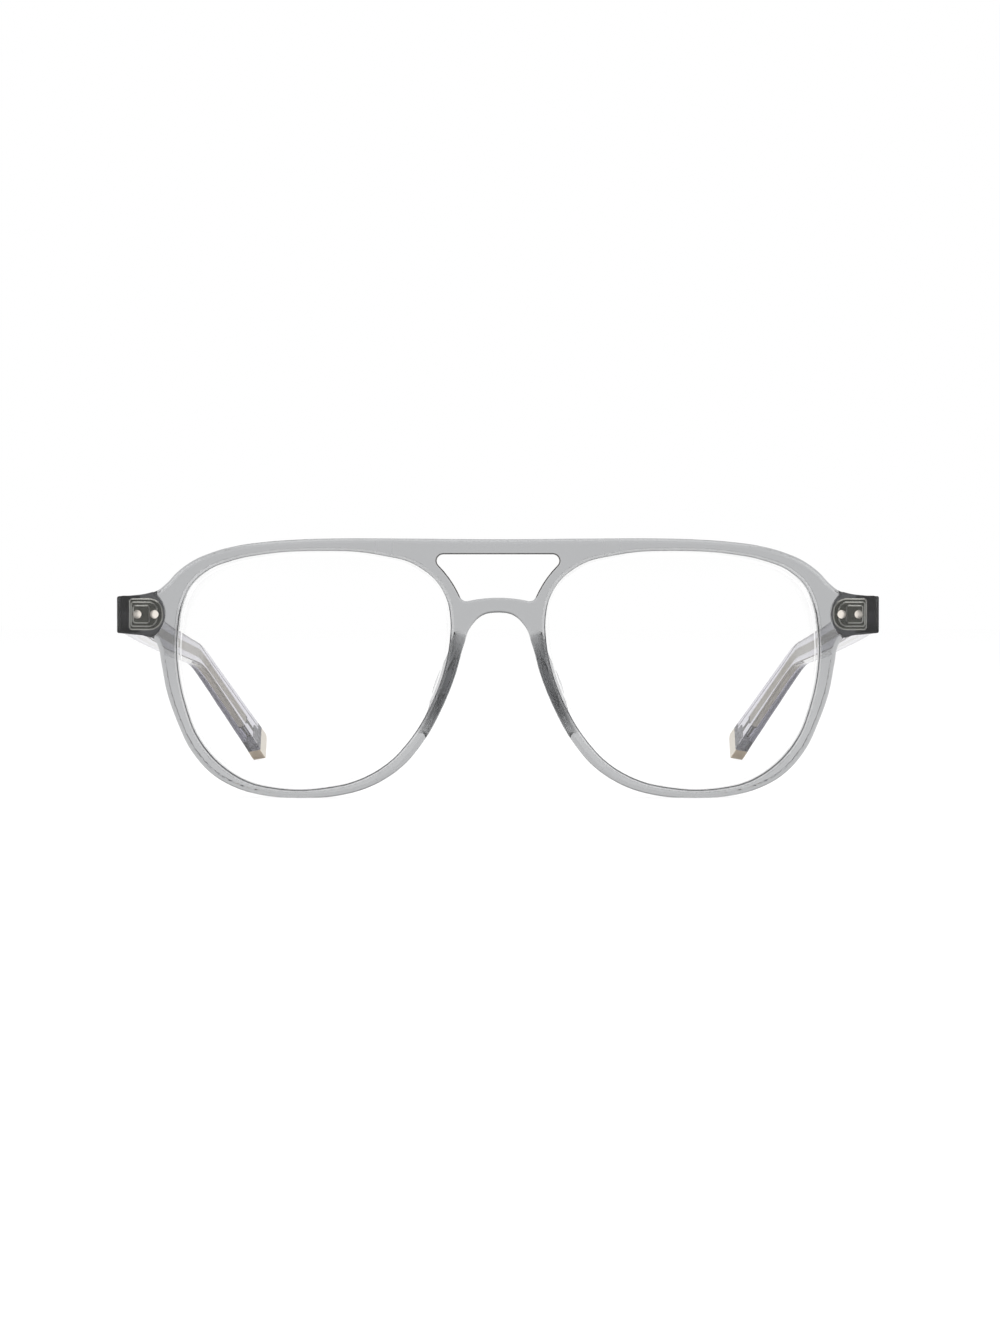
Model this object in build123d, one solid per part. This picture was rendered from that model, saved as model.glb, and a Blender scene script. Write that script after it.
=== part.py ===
from build123d import *
from math import asin, cos, pi, radians, sin, sqrt, tan
import os

os.makedirs("parts", exist_ok=True)

# Double bridge glasses: an acetate front, two lenses and two folding temples.
# X runs across the front, with the wearer's left at +X, Y runs back along the temples, and Z is up.
# The left half is modelled with Y measured from the front of the bridge, and the right half is its mirror.
# All lengths are in millimetres and all angles in degrees.

# Lenses, measured by the boxing system
lens_width = 52.6
lens_height = 45.7
lens_gap = 16.4
lens_thickness = 2.0
lens_curve_radius = 132.0
lens_apex_forward = 0.4

# Lens edge and groove
tongue_thickness = 1.0
groove_depth = 0.6
lens_clearance = 0.04
lens_edge_gap = 0.5

# Front
front_curve_radius = 300.0
front_thickness = 4.0
rim_under = 1.0
rim_over = 1.75
end_reach = 10.7
end_round = 0.4
outer_front_round = 0.9
outer_back_round = 0.8
window_front_round = 0.45
window_back_round = 0.45
aperture_round = 0.3

# Window between the two bridges
window_width = 26.8
window_height = 8.9
window_below_top = 3.0
window_sill_rise = 0.85
window_top_corner = 1.2
window_sill_corner = 1.2

# End piece and its lug, behind the front face
lug_centre_in = 3.9
lug_radius = 5.1
lug_depth = 13.0
lug_back_round = 0.8
hinge_height = 34.3

# Nose pads
pad_depth = 6.9
pad_sink = 0.6
pad_flare = 1.9
pad_thickness = 2.1
pad_taper_share = 0.25

# Hinge
hinge_axis_back = 1.4
hinge_axis_in = 1.4
knuckle_radius = 1.15
knuckle_count = 5
knuckle_pitch = 1.0
knuckle_gap = 0.06
web_half_width = 0.9
leaf_corner = 0.6
leaf_bevel = 0.25
front_leaf_thickness = 1.8
front_leaf_height = 6.0
front_leaf_inner_in = 8.3
front_leaf_outer_in = 1.9
front_leaf_round = 2.6
front_step_thickness = 2.1
front_step_height = 4.8
front_step_inner_in = 7.3
front_step_outer_in = 2.2
front_step_round = 1.7
front_boss_thickness = 2.4
front_boss_height = 3.5
front_boss_inner_in = 5.9
front_boss_outer_in = 2.6
front_boss_round = 0.6
temple_leaf_thickness = 0.9
temple_leaf_length = 9.4
temple_leaf_height = 4.8
temple_leaf_tail = 3.4
temple_leaf_setback = 0.4
seat_clearance = 0.03

# Hinge screw
screw_radius = 0.6
screw_clearance = 0.04
screw_head_radius = 1.0
screw_head_height = 0.6
screw_slot_width = 0.25
screw_slot_depth = 0.3

# Rivets
rivet_radius = 0.8
rivet_clearance = 0.02
rivet_proud = 0.05
front_rivet_outer_in = 3.8
front_rivet_spacing = 3.2
temple_rivet_first = 3.9
temple_rivet_spacing = 4.0
temple_rivet_crown = 0.35
temple_rivet_head_radius = 1.0

# Temples
temple_gap = 0.1
shaft_length = 88.0
bend_length = 15.0
temple_slope = 5.7
drop_slope = 36.4
hinge_yaw = -1.0
shaft_end_yaw = 4.2
tip_yaw = 17.5
temple_height_at_hinge = 7.0
temple_height_mid = 5.6
temple_height_at_bend = 4.4
temple_height_at_tip = 6.5
temple_thickness_at_hinge = 3.8
temple_thickness_at_bend = 2.9
temple_thickness_at_tip = 3.05
temple_corner_radius = 0.25

# Core wire
wire_width = 1.9
wire_thickness = 1.0
wire_corner = 0.25
wire_start = 14.0
wire_end_setback = 12.0
tang_length = 4.8
tang_width = 0.9
tang_thickness = 0.5

# Tip cap
cap_length = 3.5
cap_corner_radius = 1.6
tongue_length = 3.3
cap_tongue_width = 3.2
cap_tongue_thickness = 1.2

# One overrun for all the cuts
overrun = 1.0

# Worked-out sizes of the front
front_height = lens_height + rim_under + rim_over
half_width = lens_gap / 2 + lens_width + end_reach
lens_centre_x = lens_gap / 2 + lens_width / 2
lens_centre_z = rim_under + lens_height / 2
axis_x = half_width - temple_thickness_at_hinge - hinge_axis_in
axis_y = lug_depth + hinge_axis_back

# Outer edge of the front as shares of half_width and front_height, from the middle of the brow outwards
brow_shares = [
    (0.000, 0.996),
    (0.250, 0.999),
    (0.400, 1.000),
    (0.515, 0.996),
    (0.600, 0.988),
    (0.680, 0.973),
    (0.745, 0.949),
    (0.800, 0.915),
    (0.842, 0.871),
    (0.871, 0.827),
    (0.893, 0.802),
    (0.920, 0.789),
    (0.960, 0.781),
    (1.000, 0.778),
    (1.060, 0.775),
]

# The same edge from the end piece round the rim to the top of the nose arch
rim_shares = [
    (1.060, 0.643),
    (1.000, 0.636),
    (0.960, 0.630),
    (0.926, 0.624),
    (0.905, 0.611),
    (0.893, 0.580),
    (0.885, 0.520),
    (0.869, 0.400),
    (0.845, 0.300),
    (0.806, 0.182),
    (0.745, 0.085),
    (0.680, 0.034),
    (0.600, 0.006),
    (0.515, 0.000),
    (0.425, 0.008),
    (0.335, 0.044),
    (0.255, 0.116),
    (0.190, 0.228),
    (0.142, 0.358),
    (0.110, 0.478),
    (0.090, 0.585),
    (0.071, 0.660),
    (0.040, 0.704),
    (0.000, 0.715),
]

# Lens shape as shares of half the lens box, from the lens centre
lens_shares = [
    (-0.020, 1.000),
    (0.330, 0.977),
    (0.580, 0.924),
    (0.760, 0.845),
    (0.890, 0.718),
    (0.958, 0.560),
    (0.992, 0.345),
    (1.000, 0.160),
    (0.986, -0.040),
    (0.948, -0.250),
    (0.832, -0.588),
    (0.680, -0.790),
    (0.475, -0.935),
    (0.270, -0.988),
    (0.090, -1.000),
    (-0.080, -0.983),
    (-0.310, -0.924),
    (-0.540, -0.778),
    (-0.722, -0.552),
    (-0.855, -0.292),
    (-0.950, -0.010),
    (-0.992, 0.230),
    (-1.000, 0.420),
    (-0.976, 0.580),
    (-0.900, 0.742),
    (-0.762, 0.872),
    (-0.450, 0.973),
]

# Side of the window, from its top to its bottom corner, as shares of half its width and of its height
window_side_shares = [
    (1.000, 1.000),
    (0.635, 0.419),
    (0.494, 0.000),
]

# Middle of the nose side of the rim, where the pad grows, as shares of half_width and front_height
pad_line_shares = [
    (0.0925, 0.700),
    (0.1005, 0.636),
    (0.1112, 0.573),
    (0.1208, 0.509),
    (0.1345, 0.445),
    (0.1512, 0.381),
    (0.1728, 0.318),
    (0.2010, 0.254),
    (0.2310, 0.190),
]

# How far along the pad's cut, from its root to its tip, its straight sides are given
pad_cut_shares = [0.0, 0.4, 0.7, 0.9]


def point(x, z):
    """A point of an outline that stands across Y."""
    return Vector(x, 0, z)


def mirrored_run(points):
    """The points of the left half and, before them, their mirror, in one run from -X to +X."""
    left = [point(-x, z) for x, z in reversed(points) if x > 0]
    return left + [point(x, z) for x, z in points]


def direction_at(before, here, after):
    """Direction at a point of the circle through it and its two neighbours."""
    come = here - before
    go = after - here
    return (come * (go.length / come.length) + go * (come.length / go.length)).normalized()


def end_direction(here, neighbour, direction_there):
    """Direction at the end of a run, as a circle through the end and its neighbour has it."""
    chord = (neighbour - here).normalized()
    return (chord * (2 * chord.dot(direction_there)) - direction_there).normalized()


def arc_pair(start, end, start_way, end_way):
    """Two arcs that meet smoothly and leave and reach two points in given directions."""
    step = end - start
    ways = start_way + end_way
    bend = 2 * (1 - start_way.dot(end_way))
    along = 2 * step.dot(ways)
    square = step.dot(step)
    reach = 2 * square / (along + sqrt(along**2 + 4 * bend * square))
    middle = (start + start_way * reach + end - end_way * reach) * 0.5
    first = TangentArc(start, middle, tangent=start_way)
    return [first, TangentArc(middle, end, tangent=first % 1)]


def smooth_run(points, closed=False):
    """Arcs, each tangent to the next, through a run of points."""
    count = len(points)
    ways = [direction_at(points[i - 1], points[i], points[(i + 1) % count]) for i in range(count)]
    if not closed:
        ways[0] = end_direction(points[0], points[1], ways[1])
        ways[-1] = end_direction(points[-2], points[-1], ways[-2])
    arcs = []
    for i in range(count if closed else count - 1):
        after = (i + 1) % count
        arcs += arc_pair(points[i], points[after], ways[i], ways[after])
    return arcs


def along_y(face, start, end):
    """The solid that a standing face sweeps from one depth to another."""
    return Pos(0, start, 0) * extrude(face, amount=end - start, dir=(0, 1, 0))


def outer_face():
    """The outline of the whole front, without its holes, a little longer than the end pieces."""
    brow = mirrored_run([(x * half_width, z * front_height) for x, z in brow_shares])
    rim = mirrored_run([(x * half_width, z * front_height) for x, z in reversed(rim_shares)])
    ends = [Line(brow[0], rim[0]), Line(brow[-1], rim[-1])]
    return make_face(smooth_run(brow) + smooth_run(rim) + ends)


def lens_face(margin):
    """The lens shape, grown by a margin all round, on the left side."""
    wide = lens_width / 2 + margin
    high = lens_height / 2 + margin
    points = [point(lens_centre_x + x * wide, lens_centre_z + z * high) for x, z in lens_shares]
    return make_face(smooth_run(points, closed=True))


def window_face():
    """The opening between the upper and the lower bridge."""
    sill = front_height - window_below_top - window_height
    side = [(x * window_width / 2, sill + z * window_height) for x, z in window_side_shares]
    right = [point(x, z) for x, z in side]
    left = [point(-x, z) for x, z in side]
    top = Line(left[0], right[0])
    bottom = ThreePointArc(left[-1], point(0, sill + window_sill_rise), right[-1])
    face = make_face([top, ThreePointArc(*right), bottom, ThreePointArc(*left)])
    corners = face.vertices().sort_by(Axis.Z)
    face = fillet(corners[-2:], window_top_corner)
    corners = face.vertices().sort_by(Axis.Z)
    return fillet(corners[:2], window_sill_corner)


def curved_band(outside, inside):
    """The space between two depths below the curved front face, behind and across the whole front."""
    tall = 3 * front_height
    outer = Pos(0, front_curve_radius, 0) * Cylinder(front_curve_radius - outside, tall)
    inner = Pos(0, front_curve_radius, 0) * Cylinder(front_curve_radius - inside, tall + overrun)
    return outer - inner


def lens_shell(before, behind):
    """The spherical shell from one depth below the lens's front surface to another."""
    turn = asin(lens_centre_x / front_curve_radius)
    reach = front_curve_radius + lens_apex_forward - lens_curve_radius
    centre = Pos(reach * sin(turn), front_curve_radius - reach * cos(turn), lens_centre_z)
    return centre * Sphere(lens_curve_radius - before) - centre * Sphere(lens_curve_radius - behind)


def depth_under_face(place):
    """How far a place lies behind the curved front face."""
    return front_curve_radius - sqrt(place.X**2 + (place.Y - front_curve_radius) ** 2)


def face_edges(solid, least, most):
    """The edges that lie between two depths under the front face and run across the front."""
    found = []
    for edge in solid.edges():
        size = edge.bounding_box().size
        depth = depth_under_face(edge @ 0.5)
        if least < depth < most and max(size.X, size.Z) > front_thickness / 20:
            found.append(edge)
    return found


def round_over(solid, near, front_radius, back_radius):
    """Rounds the edges of both faces that a test picks."""
    front = [e for e in face_edges(solid, -overrun, front_thickness / 8) if near(e @ 0.5)]
    solid = fillet(front, front_radius)
    back_least = front_thickness * 7 / 8
    back = [e for e in face_edges(solid, back_least, front_thickness + overrun) if near(e @ 0.5)]
    return fillet(back, back_radius)


def front_blank():
    """The bent sheet with its rounded outer edge and the rounded window."""
    sheet = along_y(outer_face(), -overrun, 2 * lug_depth) & curved_band(0, front_thickness)

    def by_rim(place):
        return abs(place.X) < half_width

    sheet = round_over(sheet, by_rim, outer_front_round, outer_back_round)
    sheet = sheet - along_y(window_face(), -overrun, 2 * lug_depth)
    sill = front_height - window_below_top - window_height

    def by_window(place):
        across = abs(place.X) < window_width / 2
        return across and sill - window_sill_corner < place.Z < front_height - window_below_top / 2

    return round_over(sheet, by_window, window_front_round, window_back_round)


def lug():
    """The thick D-shaped block behind the left end piece, its back edge rounded towards the lens."""
    centre_x = half_width - lug_centre_in
    disc = Pos(centre_x, 0, hinge_height) * Rot(90, 0, 0) * Cylinder(lug_radius, 4 * lug_depth)
    beyond = Pos(centre_x + half_width / 2, 0, hinge_height) * Box(half_width, 4 * lug_depth, 2 * lug_radius)
    block = along_y(outer_face(), lug_depth / 2, lug_depth) & (disc + beyond)
    back = block.faces().sort_by(Axis.Y)[-1]
    return fillet(back.edges().filter_by(GeomType.CIRCLE).sort_by(SortBy.LENGTH)[-1], lug_back_round)


def pad_cut(x, z, reach):
    """The pad's level cut at a height: a strip that runs back, bends away from the nose and ends round."""
    root = front_thickness / 2
    end = front_thickness + reach
    lens_side = []
    nose_side = []
    for share in pad_cut_shares:
        y = root + (end - root) * share
        into_flare = max(y - front_thickness, 0) / pad_depth
        middle = x + pad_flare * into_flare**2
        half = pad_thickness / 2 * (1 - pad_taper_share * into_flare)
        lens_side.append(Vector(middle + half, y, z))
        nose_side.append(Vector(middle - half, y, z))
    tip = Vector(x + pad_flare * (max(reach, 0) / pad_depth) ** 2, end, z)
    around_tip = ThreePointArc(lens_side[-1], tip, nose_side[-1])
    return make_face([Spline(lens_side), around_tip, Spline(nose_side), Line(nose_side[0], lens_side[0])])


def nose_pad():
    """The pad that swells out of the left rim's back and dies away into it again."""
    cuts = []
    last = len(pad_line_shares) - 1
    for index, (x_share, z_share) in enumerate(pad_line_shares):
        swell = sin(pi * index / last) ** 2
        reach = (pad_depth + pad_sink) * swell - pad_sink
        cuts.append(pad_cut(x_share * half_width, z_share * front_height, reach))
    return loft(cuts)


def front_rivet_places():
    """Where the two rivets of the left end piece stand, inner one first."""
    outer = half_width - front_rivet_outer_in
    return [outer - front_rivet_spacing, outer]


def rivet_drill(x):
    """The hole of one front rivet, with its running clearance."""
    drill = Cylinder(rivet_radius + rivet_clearance, 4 * lug_depth)
    return Pos(x, 0, hinge_height) * Rot(90, 0, 0) * drill


def front_leaf_levels():
    """The stamped levels of the front hinge leaf: ends from the end piece, height, rounding, thickness."""
    return [
        (front_leaf_outer_in, front_leaf_inner_in, front_leaf_height, front_leaf_round, front_leaf_thickness),
        (front_step_outer_in, front_step_inner_in, front_step_height, front_step_round, front_step_thickness),
        (front_boss_outer_in, front_boss_inner_in, front_boss_height, front_boss_round, front_boss_thickness),
    ]


def front_leaf_outline(outer_in, inner_in, high, inner_round, margin):
    """The outline of one level of the front leaf, grown by a margin, well rounded towards the lens."""
    outline = Rectangle(inner_in - outer_in + 2 * margin, high + 2 * margin)
    outline = fillet(outline.vertices().sort_by(Axis.X)[:2], inner_round + margin)
    outline = fillet(outline.vertices().sort_by(Axis.X)[-2:], leaf_corner + margin)
    return Pos(half_width - (inner_in + outer_in) / 2, 0, hinge_height) * Rot(90, 0, 0) * outline


def front_leaf_seat():
    """The pocket in the back of the lug that takes the front hinge leaf."""
    parts = []
    for *shape, thick in front_leaf_levels():
        outline = front_leaf_outline(*shape, seat_clearance)
        parts.append(along_y(outline, lug_depth - thick - seat_clearance, lug_depth + overrun))
    return parts[0] + parts[1] + parts[2]


def front_leaf_block():
    """The block of the front hinge leaf, its levels bevelled on the side that shows through the front."""
    parts = []
    for *shape, thick in front_leaf_levels():
        part = along_y(front_leaf_outline(*shape, 0), lug_depth - thick, lug_depth)
        parts.append(chamfer(part.faces().sort_by(Axis.Y)[0].edges(), leaf_bevel))
    return parts[0] + parts[1] + parts[2]


def front_solid():
    """The whole front: both rims, both bridges, both end pieces and both nose pads."""
    blank = front_blank() + lug() + mirror(lug(), about=Plane.YZ)
    blank = blank & Box(2 * half_width, 8 * lug_depth, 8 * front_height)
    for side in (1, -1):
        ends = [f for f in blank.faces() if f.center().X * side > half_width - overrun / 100]
        end = ShapeList(ends).sort_by(SortBy.AREA)[-1]
        blank = fillet(end.edges(), end_round)
    blank = blank + nose_pad() + mirror(nose_pad(), about=Plane.YZ)
    hole = along_y(lens_face(-groove_depth), -overrun, 2 * lug_depth)
    hole = hole & curved_band(-lug_depth, front_thickness + overrun)
    groove = along_y(lens_face(lens_clearance), -overrun, lug_depth)
    tongue_before = (lens_thickness - tongue_thickness) / 2 - lens_clearance
    tongue_behind = (lens_thickness + tongue_thickness) / 2 + lens_clearance
    groove = groove & lens_shell(tongue_before, tongue_behind)
    drills = [rivet_drill(x) for x in front_rivet_places()]
    for cut in [hole, groove, front_leaf_seat()] + drills:
        blank = blank - cut - mirror(cut, about=Plane.YZ)
    outline = lens_face(-groove_depth).face().outer_wire()
    near = overrun / 20
    lips = []
    for edge in face_edges(blank, -near, near):
        place = edge @ 0.5
        if outline.distance_to(point(abs(place.X), place.Z)) < near:
            lips.append(edge)
    return fillet(lips, aperture_round)


def lens():
    """The left lens: a bent disc with a thinner tongue round its edge."""
    body = along_y(lens_face(-groove_depth - lens_edge_gap), -2 * overrun, lug_depth)
    body = body & lens_shell(0, lens_thickness)
    tongue = along_y(lens_face(0), -2 * overrun, lug_depth)
    before = (lens_thickness - tongue_thickness) / 2
    behind = (lens_thickness + tongue_thickness) / 2
    return body + (tongue & lens_shell(before, behind))


def knuckle_height(index, end):
    """Height of the bottom (end 0) or top (end 1) of one barrel, counted from the lowest."""
    base = hinge_height - knuckle_count * knuckle_pitch / 2
    if end:
        return base + (index + 1) * knuckle_pitch - knuckle_gap / 2
    return base + index * knuckle_pitch + knuckle_gap / 2


def upright(radius, low, high):
    """A cylinder on the hinge axis between two heights."""
    return Pos(axis_x, axis_y, (low + high) / 2) * Cylinder(radius, high - low)


def slab_between(x0, x1, y0, y1, z0, z1):
    """A block given by its six planes."""
    place = Pos((x0 + x1) / 2, (y0 + y1) / 2, (z0 + z1) / 2)
    return place * Box(x1 - x0, y1 - y0, z1 - z0)


def front_hinge():
    """The left front leaf: a flat with three barrels."""
    leaf = front_leaf_block()
    for index in range(0, knuckle_count, 2):
        low = knuckle_height(index, 0)
        high = knuckle_height(index, 1)
        leaf += upright(knuckle_radius, low, high)
        start = lug_depth - front_leaf_thickness / 4
        leaf += slab_between(axis_x - web_half_width, axis_x + web_half_width, start, axis_y, low, high)
    leaf -= upright(screw_radius + screw_clearance, hinge_height - front_height, hinge_height + front_height)
    for x in front_rivet_places():
        leaf -= rivet_drill(x)
    return leaf


def front_rivet(x):
    """One rivet through the end piece, ground to the curve of the front face and a hair proud of it."""
    shank = Pos(x, 0, hinge_height) * Rot(90, 0, 0) * Cylinder(rivet_radius, 2 * lug_depth)
    ground = Cylinder(front_curve_radius + rivet_proud, 4 * front_height)
    return shank & Pos(0, front_curve_radius, 0) * ground


def temple_leaf_plate(margin):
    """The flat of the temple's hinge leaf, let into its inner face, narrowing towards its tail."""
    start = lug_depth + temple_gap + temple_leaf_setback
    end = start + temple_leaf_length
    drop = temple_leaf_length * tan(radians(temple_slope))
    half_start = temple_leaf_height / 2
    half_end = temple_leaf_tail / 2
    corners = [
        (start - margin, hinge_height - half_start - margin),
        (start - margin, hinge_height + half_start + margin),
        (end + margin, hinge_height - drop + half_end + margin),
        (end + margin, hinge_height - drop - half_end - margin),
    ]
    face = make_face(Polyline([Vector(0, y, z) for y, z in corners], close=True))
    tail = face.vertices().sort_by(Axis.Y)[-2:]
    face = fillet(tail, leaf_corner + margin)
    inner_x = half_width - temple_thickness_at_hinge
    return Pos(inner_x, 0, 0) * extrude(face, amount=temple_leaf_thickness + margin, dir=(1, 0, 0))


def temple_rivet_places():
    """Where the rivets of the left temple stand: their distance back and height, fore one first."""
    places = []
    for index in range(2):
        back = temple_rivet_first + index * temple_rivet_spacing
        places.append((lug_depth + temple_gap + back, hinge_height - back * tan(radians(temple_slope))))
    return places


def temple_hinge():
    """The left temple leaf: a flat with two barrels."""
    leaf = temple_leaf_plate(0)
    inner_x = half_width - temple_thickness_at_hinge
    for index in range(1, knuckle_count, 2):
        low = knuckle_height(index, 0)
        high = knuckle_height(index, 1)
        leaf += upright(knuckle_radius, low, high)
        end_y = axis_y + knuckle_radius
        start_y = axis_y - web_half_width
        leaf += slab_between(axis_x, inner_x + temple_leaf_thickness / 2, start_y, end_y, low, high)
    leaf -= upright(screw_radius + screw_clearance, hinge_height - front_height, hinge_height + front_height)
    for y, z in temple_rivet_places():
        leaf -= Pos(inner_x, y, z) * Rot(0, 90, 0) * Cylinder(rivet_radius + rivet_clearance, lug_depth)
    return leaf


def hinge_screw():
    """The screw that is the hinge's pin, with a slotted head on the top barrel."""
    low = knuckle_height(0, 0)
    high = knuckle_height(knuckle_count - 1, 1)
    screw = upright(screw_radius, low, high) + upright(screw_head_radius, high, high + screw_head_height)
    head_edges = screw.faces().sort_by(Axis.Z)[-1].edges()
    screw = fillet(head_edges, screw_head_height / 3)
    top = high + screw_head_height
    slot = Box(2 * (screw_head_radius + overrun), screw_slot_width, 2 * screw_slot_depth)
    return screw - Pos(axis_x, axis_y, top) * slot


def path_angles(distance):
    """Slope below level and turn towards the head at a distance along the left temple."""
    into_bend = min(max((distance - shaft_length) / bend_length, 0.0), 1.0)
    eased = into_bend**2 * (3 - 2 * into_bend)
    down_shaft = min(distance / shaft_length, 1.0)
    slope = temple_slope + (drop_slope - temple_slope) * eased
    yaw = hinge_yaw + (shaft_end_yaw - hinge_yaw) * down_shaft + (tip_yaw - shaft_end_yaw) * eased
    return radians(slope), radians(yaw)


def path_axes(distance):
    """Unit vectors along the temple, across its thickness and up its height."""
    slope, yaw = path_angles(distance)
    along = Vector(-sin(yaw), cos(yaw) * cos(slope), -cos(yaw) * sin(slope))
    across = Vector(cos(yaw), sin(yaw) * cos(slope), -sin(yaw) * sin(slope))
    up = Vector(0, sin(slope), cos(slope))
    return along, across, up


def path_place(distance):
    """The middle of the temple at a distance from its butt, added up in short steps."""
    place = Vector(half_width - temple_thickness_at_hinge / 2, lug_depth + temple_gap, hinge_height)
    steps = 200
    for index in range(steps):
        place = place + path_axes((index + 0.5) * distance / steps)[0] * (distance / steps)
    return place


def drop_length():
    """Length of the straight end, such that its lowest corner stands on the floor with the rims."""
    bend_end = shaft_length + bend_length
    along, across, up = path_axes(bend_end)
    half_high = temple_height_at_tip / 2 - temple_corner_radius
    half_wide = temple_thickness_at_tip / 2 - temple_corner_radius
    round_part = temple_corner_radius * sqrt(up.Z**2 + across.Z**2)
    hang = half_high * abs(up.Z) + half_wide * abs(across.Z) + round_part
    return (path_place(bend_end).Z - hang) / -along.Z


def between(distance, table):
    """A value on the straight lines through a table of distances and values."""
    for (d0, v0), (d1, v1) in zip(table, table[1:]):
        if distance <= d1:
            return v0 + (v1 - v0) * (distance - d0) / (d1 - d0)
    return table[-1][1]


temple_length = shaft_length + bend_length + drop_length()
bend_middle = shaft_length + bend_length / 2
height_table = [
    (0, temple_height_at_hinge),
    (shaft_length / 2, temple_height_mid),
    (bend_middle, temple_height_at_bend),
    (temple_length, temple_height_at_tip),
]
thickness_table = [
    (0, temple_thickness_at_hinge),
    (bend_middle, temple_thickness_at_bend),
    (temple_length, temple_thickness_at_tip),
]


def path_plane(distance):
    """The plane across the temple at a distance, its X across the thickness and its Y up."""
    along, across, up = path_axes(distance)
    return Plane(origin=path_place(distance), x_dir=across, z_dir=-along)


def stations(first, last):
    """Evenly spread distances for the cuts of a loft, near enough to follow the bend."""
    count = round((last - first) / bend_length * 3)
    return [first + (last - first) * index / count for index in range(count + 1)]


def bar_along_path(first, last, wide_at, high_at, corner):
    """A bar of rounded cuts that follows the temple's middle line."""
    cuts = []
    for distance in stations(first, last):
        outline = RectangleRounded(wide_at(distance), high_at(distance), corner)
        cuts.append(path_plane(distance) * outline)
    return loft(cuts)


def temple_blank():
    """The whole temple with its tip, before the cap is parted from it."""
    bar = bar_along_path(
        -2 * overrun,
        temple_length,
        lambda d: between(max(d, 0), thickness_table),
        lambda d: between(max(d, 0), height_table),
        temple_corner_radius,
    )
    butt = lug_depth + temple_gap
    return bar - slab_between(0, 2 * half_width, butt - lug_depth, butt, 0, 2 * hinge_height)


def tip_block(start, end, wide, high, raise_by=0.0):
    """A straight block in the tip, between two distances back from the temple's end."""
    middle = temple_length - (start + end) / 2
    return path_plane(middle) * Pos(0, raise_by, 0) * Box(wide, high, end - start)


def past_cap_joint():
    """All the space beyond the joint between the temple and its cap."""
    reach = 4 * temple_height_at_tip
    return tip_block(-reach, cap_length, reach, reach)


def cap_tongue(margin):
    """The tongue of the cap, inside the temple."""
    start = cap_length - (0 if margin else cap_length / 2)
    end = cap_length + tongue_length + margin
    return tip_block(start, end, cap_tongue_thickness + 2 * margin, cap_tongue_width + 2 * margin)


def tip_cap(blank):
    """The metal cap: the last stretch of the temple, with its upper corner rounded, and a tongue."""
    cap = blank & past_cap_joint()
    reach = 2 * temple_height_at_tip
    side = path_plane(temple_length)
    edge = temple_height_at_tip / 2
    corner = cap_corner_radius
    keep = Box(reach, reach, reach)
    notch = Pos(0, edge - corner / 2, corner / 2) * Box(reach, corner, corner)
    round_part = Pos(0, edge - corner, corner) * Rot(0, 90, 0) * Cylinder(corner, reach)
    cap = cap - side * (notch - round_part)
    return cap + cap_tongue(0)


def wire(margin):
    """The flat core wire with the narrow tang at its end."""
    end = temple_length - wire_end_setback
    bar = bar_along_path(
        wire_start - margin,
        end + margin,
        lambda d: wire_thickness + 2 * margin,
        lambda d: wire_width + 2 * margin,
        wire_corner + margin,
    )
    from_end = wire_end_setback - tang_length - margin
    in_bar = wire_end_setback + tang_length / 4
    return bar + tip_block(from_end, in_bar, tang_thickness + 2 * margin, tang_width + 2 * margin)


def temple_rivet(y, z):
    """One rivet from the temple's leaf to a low head on its outer face."""
    inner_x = half_width - temple_thickness_at_hinge
    distance = y - lug_depth - temple_gap
    place = path_place(distance) + path_axes(distance)[1] * (between(distance, thickness_table) / 2)
    outer_x = place.X + seat_clearance
    under_head = outer_x + temple_rivet_crown / 4
    shank = Rot(0, 90, 0) * Cylinder(rivet_radius, under_head - inner_x)
    shank = Pos((inner_x + under_head) / 2, y, z) * shank
    head_radius = (temple_rivet_head_radius**2 + temple_rivet_crown**2) / (2 * temple_rivet_crown)
    ball = Pos(outer_x + temple_rivet_crown - head_radius, y, z) * Rot(0, 90, 0) * Sphere(head_radius)
    reach = 2 * head_radius
    head = ball & slab_between(outer_x, outer_x + reach, y - reach, y + reach, z - reach, z + reach)
    return shank + head


def temple(blank):
    """The acetate arm: the blank less its cap and the seats of all that it holds."""
    arm = blank - past_cap_joint() - cap_tongue(seat_clearance) - wire(seat_clearance)
    seat = temple_leaf_plate(seat_clearance)
    arm = arm - seat - Pos(-overrun / 2, 0, 0) * seat
    for y, z in temple_rivet_places():
        drill = Cylinder(rivet_radius + rivet_clearance, 4 * lug_depth)
        arm = arm - Pos(half_width, y, z) * Rot(0, 90, 0) * drill
    return arm


blank = temple_blank()
inner_rivet_x, outer_rivet_x = front_rivet_places()
fore_rivet, aft_rivet = temple_rivet_places()
left_pieces = {
    "lens": lens(),
    "front_hinge": front_hinge(),
    "front_rivet_inner": front_rivet(inner_rivet_x),
    "front_rivet_outer": front_rivet(outer_rivet_x),
    "hinge_screw": hinge_screw(),
    "temple": temple(blank),
    "temple_hinge": temple_hinge(),
    "temple_rivet_fore": temple_rivet(*fore_rivet),
    "temple_rivet_aft": temple_rivet(*aft_rivet),
    "core_wire": wire(0),
    "tip_cap": tip_cap(blank),
}

# The origin is on the floor, under the middle of the whole object
depth = left_pieces["tip_cap"].bounding_box().max.Y
to_origin = Pos(0, -depth / 2, 0)

export_step(to_origin * front_solid(), "parts/front.step")
for name, piece in left_pieces.items():
    export_step(to_origin * piece, f"parts/{name}_left.step")
    export_step(to_origin * mirror(piece, about=Plane.YZ), f"parts/{name}_right.step")

print("front", 2 * half_width, "wide,", front_height, "high; whole depth", depth)
print("temple length along its middle", temple_length)
print("left hinge axis at", axis_x, axis_y - depth / 2, "and its middle at height", hinge_height)
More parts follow.
